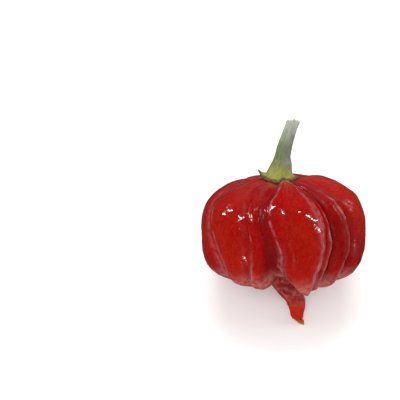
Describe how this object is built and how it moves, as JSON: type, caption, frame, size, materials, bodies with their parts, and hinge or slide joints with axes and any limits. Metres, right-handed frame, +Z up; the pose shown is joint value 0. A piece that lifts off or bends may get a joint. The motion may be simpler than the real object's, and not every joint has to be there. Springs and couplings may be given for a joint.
{
  "type": "chilli pepper",
  "caption": "Fresh red chilli pepper, squat and deeply lobed, with a hooked tail, green calyx and cut stem, lying on its back lobes and the tip of its tail.",
  "frame": {"origin": "On the table, under the middle of the pepper's box.", "axes": "+Z up from the table. +Y is where the stem leans, away from the side with the tail. +X is to the right of someone who faces the side with the tail."},
  "size_m": [0.0376, 0.0382, 0.0352],
  "materials": {
    "pod_skin": "glossy",
    "green_stem": "matte"
  },
  "bodies": {
    "root": {"pod": "pod_skin", "calyx_and_stem": "green_stem"}
  },
  "joints": []
}
